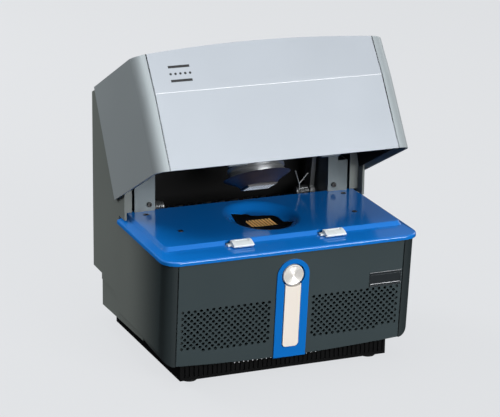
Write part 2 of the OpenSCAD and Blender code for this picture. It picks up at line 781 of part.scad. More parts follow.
module lid_panel()
    color("#d4d9df") opened() difference() {
        union() {
            intersection() {
                lid_shell();
                bx(-lid_seam+0.2, lid_seam-0.2, -20, 260, 150, 360);
            }
            intersection() {
                difference() {
                    lid_solid(lid_t-0.05);
                    lid_solid(lid_t+1.6);
                }
                union() {
                    bx(-lid_seam+1, -lid_seam+10, 0, 200, 200, 360);
                    bx(lid_seam-10, lid_seam-1, 0, 200, 200, 360);
                }
                bx(-200, 200, -20, 200, 200, 400);
            }
        }
        translate([0, 18.7, 278.2]) rotate([-lid_lean2, 0, 0]) {
            bx(-128.8, -101, -3, 8, 32.8, 35.8);
            bx(-128.8, -101, -3, 8, 13.6, 16.6);
            for (i=[0:4]) ycyl(-127.5+i*6.4, -3, 8, 24.6, 1.2);
        }
    }

module lid_cheek(s) opened() intersection() {
    lid_shell();
    bx(s>0?lid_seam+0.2:-200, s>0?200:-lid_seam-0.2, -20, 260, 150, 360);
}

module lid_cheek_left()
    color("#c9ced3") lid_cheek(-1);

module lid_cheek_right()
    color("#c9ced3") lid_cheek(1);

module lid_liner()
    color("#101112") opened() difference() {
        union() {
            difference() {
                bx(-161, 161, 17, 150, 184, 217);
                bx(-159, 159, 19, 151, 180, 215);
            }
            for (s=[-1, 1]) bx(s*140-6, s*140+6, 60, 140, 216.9, 240);
        }
        zcyl(0, block_y, 200, 230, 40);
        for (s=[-1, 1]) zcyl(s*140, 100, 230, 241, 2);
    }

module spring_seats(r, z0, z1)
    for (sx=[-1, 1]) for (sy=[-1, 1]) zcyl(sx*seat_x, block_y+sy*seat_x, z0, z1, r);

module optics_housing()
    color("#1a1b1c") opened() difference() {
        union() {
            zcyl(0, block_y, 203, 217.02, 38);
            bx(-52, 52, block_y-44, block_y+44, 217.02, 262);
        }
        zcyl(0, block_y, 200, 219.1, 22);
        spring_seats(4.2, 200, 208);
        spring_seats(2.06, 200, 216);
        bx(-46, 46, block_y-38, block_y+38, 219, 260);
    }

module optics_hood()
    color("#1d1c22") floated() difference() {
        translate([0, block_y, 178.2]) scale([0.86, 1, 1]) cylinder(h=10.8, r1=27, r2=50);
        zcyl(0, block_y, 170, 200, 19);
        bx(-20.6, 20.6, block_y-16.1, block_y+16.1, 170, 178.9);
    }

module lens_ring()
    color("#b9bcc0") floated() translate([0, block_y, 189.02]) rotate_extrude()
        polygon([[28, 0], [36.4, 0], [lens_r, 1], [lens_r, 4.6], [36, 5.2], [36, 8], [lens_r, 8.6],
            [lens_r, 12], [36.6, 12.98], [28, 12.98]]);

module guide_pins()
    color("#c2c5c8") floated() spring_seats(2, 202.02, 213);

module camera_module()
    color("#2b2e30") opened() union() {
        zcyl(0, block_y, 262.02, 276.1, 18);
        bx(-22, 22, block_y-22, block_y+22, 276, 286);
        zcyl(0, block_y, 285.9, 290, 8);
    }

module led_board()
    color("#1e6a3c") opened() difference() {
        union() {
            bx(-44, 44, block_y-36, block_y+36, 221, 222.6);
            for (sx=[-1, 1]) for (sy=[-1, 1]) zcyl(sx*38, block_y+sy*30, 219.01, 221.1, 3);
            for (i=[0:5]) for (j=[0, 1]) zcyl(-30+i*12, block_y-26+j*52, 222.5, 225, 2);
        }
        zcyl(0, block_y, 215, 230, 21);
    }

module filter_motor()
    color("#6f7477") opened() union() {
        bx(60, 92, 97, 129, 217.02, 240);
        zcyl(76, 113, 239.9, 248, 4);
        bx(54, 98, 105, 121, 247.9, 250);
    }

module heated_plate()
    color("#e8ecee") floated() difference() {
        union() {
            bx(-20, 20, block_y-15.5, block_y+15.5, 174.6, 177.6);
            bx(-18, 18, block_y-13.5, block_y+13.5, 173.8, 174.7);
            bx(-17, 17, block_y-8, block_y+8, 177.5, 178.8);
        }
        for (i=[0:7]) for (j=[0:5]) zcyl((i-3.5)*4.5, block_y+(j-2.5)*4.5, 170, 180, 1.2);
    }

module plate_springs()
    color("#b8bbbe") opened() for (sx=[-1, 1]) for (sy=[-1, 1])
        translate([sx*seat_x, block_y+sy*seat_x, 193.05]) coils(3.2, 0.4, 6, 2.78);

module lid_strikers()
    color("#9da2a5") opened() mirrored() union() {
        bx(50, 75, 14.2, 15.8, 178.3, 216);
        bx(50, 75, 15.7, 19.4, 178.3, 179.1);
        bx(50, 75, 15.7, 16.98, 205, 207);
    }

module wire_clip() color("#c7cacc") {
    zcyl(91, 195, steel_top, 189, 0.9);
    bx(84, 98, 193.6, 196.4, 188.5, 189.6);
    translate([91, 195, 189]) rotate([0, -22, 0]) cylinder(h=30, r=0.9, $fn=24);
    translate([91, 195, 189]) rotate([0, 22, 0]) cylinder(h=26, r=0.9, $fn=24);
}

module lid_arm() xprism(arm_x0, arm_x1) difference() {
    union() {
        translate([hinge_y, hinge_z]) circle(11);
        polygon([[219, 166], [237, 166], [237, 182], [206, 226], [130, 230], [130, 217.02], [186, 217.02],
            [196, 206], [217.5, 176]]);
    }
    translate([hinge_y, hinge_z]) circle(pin_r+0.05);
    translate([138.7, 222]) square([2.6, 20]);
}

module lid_arm_left()
    color("#8b9093") opened() mirror([1, 0, 0]) lid_arm();

module lid_arm_right()
    color("#8b9093") opened() lid_arm();

module lid_screws()
    color("#c3c6c9") opened() mirrored() {
        translate([116, 140, 232.6]) screw(2.4, 2.5, 6);
        translate([60, 40, 213.2]) rotate([180, 0, 0]) screw(2.6, 1.75, 0.04);
        translate([148, 30, 213.2]) rotate([180, 0, 0]) screw(2.6, 1.75, 0.04);
        translate([148, 130, 213.2]) rotate([180, 0, 0]) screw(2.6, 1.75, 0.04);
        translate([60, 140, 213.2]) rotate([180, 0, 0]) screw(2.6, 1.75, 0.04);
    }

translate([0, -mid_y, 0]) {
    base_pan();
    plinth();
    rubber_feet();
    base_shell();
    chassis_skirt();
    chassis_deck();
    bulkhead();
    front_panel();
    front_trim();
    light_bar();
    badge_plate();
    deck_cover();
    block_surround();
    thermal_block();
    peltier_modules();
    heat_sink();
    fan_frame();
    fan_rotor();
    rear_fan_frame();
    rear_fan_rotor();
    main_board();
    power_supply();
    bracket_left();
    bracket_right();
    bracket_screws();
    deck_screws();
    hinge_pins();
    rear_housing();
    rear_panel();
    socket_plate();
    rear_panel_screws();
    power_inlet();
    switch_frame();
    power_switch();
    data_socket();
    release_button();
    button_spring();
    button_guide();
    latch_bar();
    latch_bolts();
    latch_springs();
    lid_panel();
    lid_cheek_left();
    lid_cheek_right();
    lid_liner();
    lid_arm_left();
    lid_arm_right();
    optics_housing();
    optics_hood();
    guide_pins();
    lens_ring();
    camera_module();
    led_board();
    filter_motor();
    heated_plate();
    plate_springs();
    lid_strikers();
    wire_clip();
    lid_screws();
    torsion_springs();
}
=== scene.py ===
"""A benchtop thermal cycler with its lid open: materials, rounded shells, light and camera round the CAD frame."""

import json
import math

import bmesh
import bpy
from mathutils import Matrix, Vector


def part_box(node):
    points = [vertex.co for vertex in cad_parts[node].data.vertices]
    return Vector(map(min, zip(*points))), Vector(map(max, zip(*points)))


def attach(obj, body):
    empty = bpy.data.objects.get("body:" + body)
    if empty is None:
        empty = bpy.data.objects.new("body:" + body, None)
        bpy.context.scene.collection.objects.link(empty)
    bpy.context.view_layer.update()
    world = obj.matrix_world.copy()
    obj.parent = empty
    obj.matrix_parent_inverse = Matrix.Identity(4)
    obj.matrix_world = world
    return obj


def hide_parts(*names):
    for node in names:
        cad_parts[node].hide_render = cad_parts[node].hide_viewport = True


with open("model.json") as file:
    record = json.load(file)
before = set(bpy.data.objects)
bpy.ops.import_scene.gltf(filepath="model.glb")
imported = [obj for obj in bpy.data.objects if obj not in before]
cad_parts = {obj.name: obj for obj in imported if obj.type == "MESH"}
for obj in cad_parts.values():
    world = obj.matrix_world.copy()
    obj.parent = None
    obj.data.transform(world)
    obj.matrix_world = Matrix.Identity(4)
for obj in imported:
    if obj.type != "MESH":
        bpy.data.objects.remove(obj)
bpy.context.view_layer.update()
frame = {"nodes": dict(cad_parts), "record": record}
NODES = frame["nodes"]
JOINTS = {joint["name"]: joint for joint in frame["record"]["behaviour"]["joints"]}
MM = 0.001
OPEN = math.radians(27.8)  # lid's tilt at rest
LEAN = math.radians(4.75)  # front panel's tilt
RIB_PITCH = 6.2  # plinth's ribs, mm
LID_LEAN = math.radians(11.66)  # lid front's upper lean when shut


def middle(node):
    low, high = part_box(node)
    return (Vector(low) + Vector(high)) / 2


DECK_LOW, DECK_HIGH = (Vector(corner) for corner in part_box("deck_cover"))
HALF_W = DECK_HIGH.x / MM
BACK_Y = (DECK_HIGH.y - DECK_LOW.y) / MM
BLOCK = middle("thermal_block")
BLOCK_Y = (BLOCK.y - DECK_LOW.y) / MM


def at(x, y, z):
    """x mm from the middle, y mm behind the deck's front edge, z mm above the plateau."""
    return Vector((x * MM, DECK_LOW.y + y * MM, DECK_HIGH.z + z * MM))


# ---------------------------------------------------------------- camera, light, floor
PITCH, YAW, ROLL = (math.radians(a) for a in (17.8176, 22.0992, 0.76836))
EYE = Vector((-1.0072, -2.4776, 1.04076))
FOCAL = 155.36


def make_camera():
    ahead = Vector((math.sin(YAW) * math.cos(PITCH), math.cos(YAW) * math.cos(PITCH), -math.sin(PITCH)))
    side = Vector((math.cos(YAW), -math.sin(YAW), 0))
    up = side.cross(ahead)
    right = side * math.cos(ROLL) + up * math.sin(ROLL)
    above = up * math.cos(ROLL) - side * math.sin(ROLL)
    data = bpy.data.cameras.new("camera")
    data.lens, data.sensor_width = FOCAL, 36
    data.clip_end = 100
    camera = bpy.data.objects.new("camera", data)
    camera.matrix_world = Matrix.Translation(EYE) @ Matrix((right, above, -ahead)).transposed().to_4x4()
    bpy.context.scene.collection.objects.link(camera)
    bpy.context.scene.camera = camera


def area_light(name, place, target, size, power, mirrored=True):
    data = bpy.data.lights.new(name, "AREA")
    data.shape, data.size, data.size_y = "RECTANGLE", size[0], size[1]
    data.energy = power
    lamp = bpy.data.objects.new(name, data)
    lamp.location = place
    lamp.visible_glossy = mirrored
    lamp.rotation_euler = (Vector(target) - Vector(place)).to_track_quat("-Z", "Y").to_euler()
    bpy.context.scene.collection.objects.link(lamp)


def make_world():
    """A studio that is dark below, grey at the sides and bright above."""
    world = bpy.data.worlds.new("studio")
    bpy.context.scene.world = world
    world.use_nodes = True
    nodes, link = world.node_tree.nodes, world.node_tree.links.new
    where = nodes.new("ShaderNodeTexCoord")
    split = nodes.new("ShaderNodeSeparateXYZ")
    spread = nodes.new("ShaderNodeMapRange")
    spread.inputs["From Min"].default_value = -1
    ramp = nodes.new("ShaderNodeValToRGB")
    ramp.color_ramp.elements[0].position = 0.40
    ramp.color_ramp.elements[0].color = (0.035, 0.036, 0.038, 1)
    ramp.color_ramp.elements[1].position = 0.95
    ramp.color_ramp.elements[1].color = (0.80, 0.82, 0.86, 1)
    side = ramp.color_ramp.elements.new(0.54)
    side.color = (0.10, 0.103, 0.11, 1)
    link(where.outputs["Generated"], split.inputs["Vector"])
    link(split.outputs["Z"], spread.inputs["Value"])
    link(spread.outputs["Result"], ramp.inputs["Fac"])
    back = nodes["Background"]
    link(ramp.outputs["Color"], back.inputs["Color"])
    back.inputs["Strength"].default_value = 0.55


def make_stage():
    mesh = bpy.data.meshes.new("floor")
    mesh.from_pydata([(-12, -12, 0), (12, -12, 0), (12, 12, 0), (-12, 12, 0)], [], [(0, 1, 2, 3)])
    floor = bpy.data.objects.new("floor", mesh)
    bpy.context.scene.collection.objects.link(floor)
    floor.visible_diffuse = False
    floor.visible_glossy = False
    m, n, link = new_material("floor_pale")
    n["Principled BSDF"].inputs["Base Color"].default_value = (0.05, 0.05, 0.0505, 1)
    n["Principled BSDF"].inputs["Roughness"].default_value = 0.9
    n["Principled BSDF"].inputs["Specular IOR Level"].default_value = 0.0
    n["Principled BSDF"].inputs["Emission Color"].default_value = (0.70, 0.715, 0.735, 1)
    n["Principled BSDF"].inputs["Emission Strength"].default_value = 0.97
    floor.data.materials.append(m)
    area_light("key", (0.7, -3.2, 1.25), (0, 0, 0.2), (2.2, 1.5), 146)
    area_light("top", (-0.2, 0.1, 2.6), (0, 0.05, 0.2), (2.0, 1.6), 34)
    area_light("left", (-1.5, 2.4, 1.0), (0, 0.1, 0.2), (1.2, 1.4), 118, False)
    area_light("right", (2.8, 1.2, 1.2), (0, 0.05, 0.2), (1.6, 1.6), 12)


# ---------------------------------------------------------------- materials
def new_material(name):
    m = bpy.data.materials.new(name)
    m.use_nodes = True
    return m, m.node_tree.nodes, m.node_tree.links.new


def surface(name, colour, rough, metal=0.0, spread=0.06, grain=900.0, bump=0.05, depth=0.00004, painted_depth_shade=None, **extra):
    """A moulded, painted or bare surface: a colour that drifts a little, broken gloss, and a fine grain.
    painted_depth_shade=(near y, far y, near colour) paints shade into the colour along the depth, in metres: it turns
    to the near colour towards near y."""
    m, n, link = new_material(name)
    b = n["Principled BSDF"]
    b.inputs["Metallic"].default_value = metal
    for key, value in extra.items():
        b.inputs[key.replace("_", " ")].default_value = value
    where = n.new("ShaderNodeTexCoord")
    cloud = n.new("ShaderNodeTexNoise")
    cloud.inputs["Scale"].default_value = 9
    cloud.inputs["Detail"].default_value = 5
    link(where.outputs["Object"], cloud.inputs["Vector"])
    tone = n.new("ShaderNodeMix")
    tone.data_type = "RGBA"
    tone.inputs["A"].default_value = (*[c * (1 - spread) for c in colour], 1)
    tone.inputs["B"].default_value = (*[min(1, c * (1 + spread)) for c in colour], 1)
    link(cloud.outputs["Fac"], tone.inputs["Factor"])
    last = tone.outputs["Result"]
    # painted shade: the colour turns towards the near colour along the depth, darker where less lamp light falls
    if painted_depth_shade:
        split = n.new("ShaderNodeSeparateXYZ")
        along = n.new("ShaderNodeMapRange")
        along.interpolation_type = "SMOOTHSTEP"
        along.inputs["From Min"].default_value, along.inputs["From Max"].default_value = painted_depth_shade[0], painted_depth_shade[1]
        shift = n.new("ShaderNodeMix")
        shift.data_type = "RGBA"
        shift.inputs["A"].default_value = (*painted_depth_shade[2], 1)
        link(where.outputs["Object"], split.inputs["Vector"])
        link(split.outputs["Y"], along.inputs["Value"])
        link(along.outputs["Result"], shift.inputs["Factor"])
        link(last, shift.inputs["B"])
        last = shift.outputs["Result"]
    link(last, b.inputs["Base Color"])
    gloss = n.new("ShaderNodeMapRange")
    gloss.inputs["To Min"].default_value = rough * 0.85
    gloss.inputs["To Max"].default_value = min(1, rough * 1.15)
    link(cloud.outputs["Fac"], gloss.inputs["Value"])
    link(gloss.outputs["Result"], b.inputs["Roughness"])
    if bump:
        fine = n.new("ShaderNodeTexNoise")
        fine.inputs["Scale"].default_value = grain
        fine.inputs["Detail"].default_value = 2
        link(where.outputs["Object"], fine.inputs["Vector"])
        relief = n.new("ShaderNodeBump")
        relief.inputs["Strength"].default_value = bump
        relief.inputs["Distance"].default_value = depth
        link(fine.outputs["Fac"], relief.inputs["Height"])
        link(relief.outputs["Normal"], b.inputs["Normal"])
    return m


MAT = {
    # painted shade: the side plastic darkens towards the front, where the left lamp behind the machine gives less
    # light
    "side_plastic": surface("side_plastic_grained_painted_shade", (0.115, 0.128, 0.120), 0.52, grain=1400, bump=0.35, depth=0.0001, painted_depth_shade=(-0.150, 0.01, (0.012, 0.019, 0.021))),
    "dark_plastic": surface("dark_plastic_grained", (0.055, 0.06, 0.06), 0.5, grain=1400, bump=0.3, depth=0.0001),
    "panel_plastic": surface("panel_plastic_satin", (0.032, 0.046, 0.050), 0.40, grain=1600, bump=0.25, depth=0.00008),
    "blue_gloss": surface("blue_moulding_gloss", (0.004, 0.135, 0.47), 0.16, spread=0.03, grain=160, bump=0.02, depth=0.0001, Coat_Weight=0.25, Coat_Roughness=0.06),
    "silver_paint": surface("silver_paint_flake", (0.40, 0.435, 0.475), 0.46, metal=0.40, spread=0.03, grain=2600, bump=0.12, depth=0.00005, Coat_Weight=0.10, Coat_Roughness=0.3),
    "black_plastic": surface("black_plastic_matt", (0.0018, 0.002, 0.0022), 0.5, grain=1500, bump=0.3, depth=0.0001, Specular_IOR_Level=0.12),
    "rubber": surface("foot_rubber_matt", (0.006, 0.006, 0.006), 0.8, grain=1200, bump=0.5, depth=0.00015),
    "spun_aluminium": surface("button_spun_metal", (0.80, 0.78, 0.74), 0.36, metal=0.35, bump=0),
    "pearl_bar": surface("light_bar_pearl", (0.76, 0.70, 0.63), 0.32, spread=0.03, bump=0.05),
    "white_plastic": surface("latch_white_satin", (0.63, 0.67, 0.68), 0.28, spread=0.02, bump=0.05),
    "gold_block": surface("block_gold_plated", (1.0, 0.58, 0.20), 0.40, metal=0.15, spread=0.1, grain=1800, bump=0.3, depth=0.00008),
    "ceramic": surface("element_ceramic", (0.80, 0.80, 0.77), 0.4, bump=0.1),
    "steel": surface("bare_steel_brushed", (0.20, 0.21, 0.215), 0.4, metal=0.8, spread=0.12, grain=1200, bump=0.3, depth=0.00005),
    "zinc_sheet": surface("zinc_sheet_rolled", (0.095, 0.115, 0.122), 0.42, metal=0.35, spread=0.18, grain=700, bump=0.2, depth=0.00006),
    "black_screw": surface("screw_black_oxide", (0.008, 0.008, 0.008), 0.4, metal=0.3, bump=0.1),
    "aluminium": surface("aluminium_turned", (0.62, 0.64, 0.66), 0.30, metal=0.85, spread=0.08, grain=900, bump=0.15, depth=0.00005),
    "board": surface("board_green_resist", (0.02, 0.14, 0.06), 0.35, spread=0.15, grain=500, bump=0.2),
    "red_plastic": surface("switch_red_gloss", (0.45, 0.03, 0.025), 0.25, bump=0.05),
    "badge": surface("badge_dark_metal", (0.030, 0.036, 0.040), 0.28, metal=0.4, grain=900, bump=0.15),
    "dark_gloss": surface("hood_dark_gloss", (0.030, 0.027, 0.038), 0.30, spread=0.1, grain=300, bump=0.05, Specular_IOR_Level=0.25),
    # painted light: the window's emission makes it glow, though it holds no lamp
    "window": surface("heated_window_frosted_painted_glow", (0.80, 0.84, 0.86), 0.25, bump=0.05, Emission_Color=(0.85, 0.9, 0.93, 1), Emission_Strength=1.3),
}
# painted shade: a darker copy of the lid's silver paint for its cheeks, whose flat sides stand out of the light
SHADED_CHEEK_SILVER = surface("silver_paint_cheek_painted_shade", (0.33, 0.37, 0.385), 0.46, metal=0.40, spread=0.03, grain=2600, bump=0.12, depth=0.00005, Coat_Weight=0.10, Coat_Roughness=0.3)
# painted highlight for the lid's crease line and the plinth's ribs, and the bright own colour of the badge's thin
# borders
HIGHLIGHT_AND_TRIM = surface("painted_highlight_and_bright_trim", (0.85, 0.87, 0.90), 0.3, metal=0.2, bump=0)
FRAME = surface("window_frame_dark", (0.018, 0.017, 0.022), 0.35, bump=0.05)
# painted shade: dark fill for the slot and dot recesses in the lid
RECESS_SHADE = surface("lid_recess_painted_shade", (0.010, 0.011, 0.012), 0.5, bump=0.05)


# ---------------------------------------------------------------- mesh helpers
def make_object(name, bm, slot, body, replace=(), sharp=32, bevel=0.0, segments=2, finish=None):
    """Turns a bmesh into a piece that rides on a body and stands for CAD nodes."""
    bmesh.ops.recalc_face_normals(bm, faces=bm.faces)
    mesh = bpy.data.meshes.new(name)
    bm.to_mesh(mesh)
    bm.free()
    mesh.shade_smooth()
    mesh.set_sharp_from_angle(angle=math.radians(sharp))
    obj = bpy.data.objects.new(name, mesh)
    bpy.context.scene.collection.objects.link(obj)
    mesh.materials.append(finish or MAT[slot])
    if bevel:
        soften = obj.modifiers.new("soft_edges", "BEVEL")
        soften.width, soften.segments, soften.limit_method = bevel * MM, segments, "ANGLE"
        soften.angle_limit = math.radians(30)
        soften.use_clamp_overlap = True
        obj.modifiers.new("even_normals", "WEIGHTED_NORMAL").keep_sharp = True
    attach(obj, body)
    if replace:
        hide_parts(*replace)
    return obj


def cad_bmesh(node, flat=0.5):
    """A CAD node's mesh as a clean bmesh: split corners joined and flat triangles merged."""
    bm = bmesh.new()
    bm.from_mesh(NODES[node].data)
    bmesh.ops.remove_doubles(bm, verts=bm.verts, dist=3e-6)
    bmesh.ops.dissolve_limit(bm, angle_limit=math.radians(flat), verts=bm.verts, edges=bm.edges)
    return bm


def refine(node, slot, width, body="base", choose=None, widest=None, segments=3, sharp=30, seam=None, finish=None):
    """The CAD node's shape with rounded edges, each width mm; choose(edge middle) gives another width in mm.
    seam=(half distance, shift) draws the faces that meet a seam back from it, in mm."""
    bm = cad_bmesh(node)
    if seam:
        for vert in bm.verts:
            if abs(abs(vert.co.x) / MM - seam[0]) < 0.6:
                vert.co.x += math.copysign(seam[1] * MM, vert.co.x)
    weight = bm.edges.layers.float.new("bevel_weight_edge")
    widest = widest or width
    for edge in bm.edges:
        if len(edge.link_faces) != 2 or edge.calc_face_angle(0) < math.radians(sharp):
            continue
        size = choose((edge.verts[0].co + edge.verts[1].co) / 2) if choose else width
        edge[weight] = min(1.0, size / widest)
    obj = make_object(node + "_shell", bm, slot, body, (node,), sharp=sharp, finish=finish)
    soften = obj.modifiers.new("soft_edges", "BEVEL")
    soften.width, soften.segments, soften.limit_method = widest * MM, segments, "WEIGHT"
    soften.use_clamp_overlap = True
    obj.modifiers.new("even_normals", "WEIGHTED_NORMAL").keep_sharp = True
    return obj


def seam_gasket(node, half, body):
    """Black strip between a middle panel and its neighbours, cut to the panel's own end faces."""
    bm = cad_bmesh(node)
    spare = [f for f in bm.faces if abs(sum(v.co.x for v in f.verts)) / len(f.verts) / MM < half - 0.05]
    bmesh.ops.delete(bm, geom=spare, context="FACES")
    for vert in bm.verts:
        vert.co.x -= math.copysign(0.8 * MM, vert.co.x)
    grown = bmesh.ops.extrude_face_region(bm, geom=bm.faces[:])
    for vert in (g for g in grown["geom"] if isinstance(g, bmesh.types.BMVert)):
        vert.co.x += math.copysign(1.35 * MM, vert.co.x)
    make_object(node + "_gasket", bm, "black_plastic", body)


def build_grille_shade():
    """Dark sheets that stand behind the two grilles: painted shade for the inside of the case seen through them."""
    low, high = (Vector(c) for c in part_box("front_panel"))
    lean = Matrix.Translation(Vector((0, low.y, high.z))) @ Matrix.Rotation(LEAN, 4, "X")
    bm = bmesh.new()
    for x0, x1 in ((-142, -26), (26, 142)):
        slab(bm, Vector((x0, 6.5, -132)) * MM, Vector((x1, 7.5, -58)) * MM, lean)
    make_object("grille_shade_sheets", bm, "black_plastic", "base", bevel=0.2)


def build_plinth_rib_highlights():
    """Painted highlight on the plinth's ribs: small bright studs in the ribs' slots, in a row under the front panel's
    lower edge.
    """
    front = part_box("plinth")[0][1]
    bm = bmesh.new()
    for i in range(-11, 8):
        spot = Matrix.Translation(Vector((i * RIB_PITCH * MM, front + 0.6 * MM, 20.2 * MM))) @ Matrix.Rotation(math.pi / 2, 4, "X")
        lathe(bm, [(0, 0.6), (0.5, 0.5), (0.8, 0.1), (0.8, -2.0), (0, -2.0)], spot, 16)
    make_object("plinth_rib_highlights", bm, "silver_paint", "base", finish=HIGHLIGHT_AND_TRIM)


def lathe(bm, profile, matrix, steps=64):
    """Turns (radius, height) pairs in mm about the matrix's Z axis."""
    rings = []
    for radius, height in profile:
        if radius == 0:
            rings.append([bm.verts.new(matrix @ Vector((0, 0, height * MM)))])
            continue
        turn = [2 * math.pi * i / steps for i in range(steps)]
        rings.append([bm.verts.new(matrix @ Vector((radius * MM * math.cos(a), radius * MM * math.sin(a), height * MM))) for a in turn])
    for lower, upper in zip(rings, rings[1:]):
        for i in range(steps):
            j = (i + 1) % steps
            corners = [lower[i % len(lower)], lower[j % len(lower)], upper[j % len(upper)], upper[i % len(upper)]]
            kept = list(dict.fromkeys(corners))
            if len(kept) > 2:
                bm.faces.new(kept)


def slab(bm, low, high, matrix=Matrix()):
    """A box between two corners given in metres."""
    corners = [matrix @ Vector((x, y, z)) for z in (low[2], high[2]) for y in (low[1], high[1]) for x in (low[0], high[0])]
    v = [bm.verts.new(c) for c in corners]
    for face in ((0, 2, 3, 1), (4, 5, 7, 6), (0, 1, 5, 4), (2, 6, 7, 3), (0, 4, 6, 2), (1, 3, 7, 5)):
        bm.faces.new([v[i] for i in face])


def prism(bm, outline, bottom, top):
    """An upright prism on a plan outline, mm in the deck's frame."""
    low = [bm.verts.new(at(x, y, bottom)) for x, y in outline]
    high = [bm.verts.new(at(x, y, top)) for x, y in outline]
    count = len(outline)
    for i in range(count):
        j = (i + 1) % count
        bm.faces.new((low[i], low[j], high[j], high[i]))
    bm.faces.new(high)
    bm.faces.new(low[::-1])


def cut(obj, bm, name):
    """Takes the bmesh's solids out of obj, for good."""
    bmesh.ops.recalc_face_normals(bm, faces=bm.faces)
    mesh = bpy.data.meshes.new(name)
    bm.to_mesh(mesh)
    bm.free()
    cutter = bpy.data.objects.new(name, mesh)
    bpy.context.scene.collection.objects.link(cutter)
    take = obj.modifiers.new("cut", "BOOLEAN")
    take.operation, take.solver, take.object = "DIFFERENCE", "EXACT", cutter
    settle(obj)
    bpy.data.objects.remove(cutter)


def settle(obj):
    """Applies every modifier."""
    graph = bpy.context.evaluated_depsgraph_get()
    mesh = bpy.data.meshes.new_from_object(obj.evaluated_get(graph))
    obj.modifiers.clear()
    obj.data = mesh


# ---------------------------------------------------------------- deck
RIM = [(0.0, -13.5), (0.0, -10.4), (0.25, -9.5), (0.9, -8.7), (2.0, -8.2), (3.5, -7.9)]
DISH = [(1.0, 0), (0.97, -0.08), (0.94, -0.35), (0.90, -0.95), (0.85, -2.1), (0.79, -3.9), (0.73, -5.7), (0.68, -7.0), (0.63, -7.9), (0.58, -8.3), (0.45, -8.5), (0.25, -8.5)]
DISH_X, DISH_Y = 50.0, 64.0
OPENING = [(-30, 150), (-22, 153), (-15, 152.5), (-8, 154), (-4, 145), (4, 141.5), (12, 141), (25, 136), (28, 126), (26.5, 112), (28, 104), (33, 100), (34, 94), (33, 88), (26, 80), (20, 68), (7, 66), (-6, 68), (-10, 73), (-27, 78), (-38, 92), (-36, 112), (-32, 130)]


def plan_ring(half, front, radius, steps=14):
    """Open outline from the back left, round the two front corners, to the back right."""
    points = [(-half, BACK_Y)]
    for centre_x, start in ((-half + radius, math.pi), (half - radius, 1.5 * math.pi)):
        for i in range(steps + 1):
            a = start + math.pi / 2 * i / steps
            points.append((centre_x + radius * math.cos(a), front + radius + radius * math.sin(a)))
    points.append((half, BACK_Y))
    return points


def dish_depth(x, y):
    k = math.hypot(x / DISH_X, (y - BLOCK_Y) / DISH_Y)
    for (outer, high), (inner, low) in zip(DISH, DISH[1:]):
        if k >= inner:
            return low + (high - low) * min(1, (k - inner) / (outer - inner))
    return DISH[-1][1]


def build_deck():
    bm = bmesh.new()
    rings = [[(x, y, z) for x, y in plan_ring(HALF_W - inset, inset, 22 - inset)] for inset, z in RIM]
    rings.append([(x, y, -5.3) for x, y in plan_ring(163, 34.5, 9)])
    rings.append([(x, y, -4.9) for x, y in plan_ring(162.7, 34.8, 8.7)])
    rings.append([(x, y, -0.45) for x, y in plan_ring(159.6, 37.7, 6.5)])
    rings.append([(x, y, -0.1) for x, y in plan_ring(159.2, 38.1, 6.2)])
    rings.append([(x, y, 0) for x, y in plan_ring(158.6, 38.7, 6)])
    grid = [[bm.verts.new(at(*p)) for p in ring] for ring in rings]
    for a, b in zip(grid, grid[1:]):
        for i in range(len(a) - 1):
            bm.faces.new((a[i], a[i + 1], b[i + 1], b[i]))
    steps = 96
    bowl = []
    for k, z in DISH:
        turn = [2 * math.pi * i / steps for i in range(steps)]
        bowl.append([bm.verts.new(at(DISH_X * k * math.cos(a), BLOCK_Y + DISH_Y * k * math.sin(a), z)) for a in turn])
    for a, b in zip(bowl, bowl[1:]):
        for i in range(steps):
            j = (i + 1) % steps
            bm.faces.new((a[i], a[j], b[j], b[i]))
    bm.faces.new(bowl[-1])
    crest = grid[-1]
    rear = [bm.edges.new((crest[-1], crest[0]))]
    border = [bm.edges.get((crest[i], crest[i + 1])) for i in range(len(crest) - 1)] + rear
    border += [bm.edges.get((bowl[0][i], bowl[0][(i + 1) % steps])) for i in range(steps)]
    bmesh.ops.triangle_fill(bm, use_beauty=True, edges=border)
    deck = make_object("deck_moulding", bm, "blue_gloss", "base", ("deck_cover",), sharp=40)
    thick = deck.modifiers.new("skin", "SOLIDIFY")
    thick.thickness, thick.offset = 2.2 * MM, -1
    settle(deck)
    tool = bmesh.new()
    prism(tool, OPENING, -20, 5)
    for side in (-1, 1):
        low, high = (-19, 14)
        prism(tool, [(side * 62.5 + low, 30), (side * 62.5 + high, 30), (side * 62.5 + high, 38.4), (side * 62.5 + low, 38.4)], -5.2, 5)
        for x, y in ((139, 168), (120, 91)):
            round_hole = [(side * x + 2.4 * math.cos(a * math.pi / 12), y + 2.4 * math.sin(a * math.pi / 12)) for a in range(24)]
            prism(tool, round_hole, -9, 5)
    cut(deck, tool, "deck_tool")
    deck.data.set_sharp_from_angle(angle=math.radians(40))
    edges = deck.modifiers.new("soft_edges", "BEVEL")
    edges.width, edges.segments, edges.limit_method = 0.5 * MM, 2, "ANGLE"
    edges.angle_limit = math.radians(50)
    edges.use_clamp_overlap = True
    deck.modifiers.new("even_normals", "WEIGHTED_NORMAL").keep_sharp = True


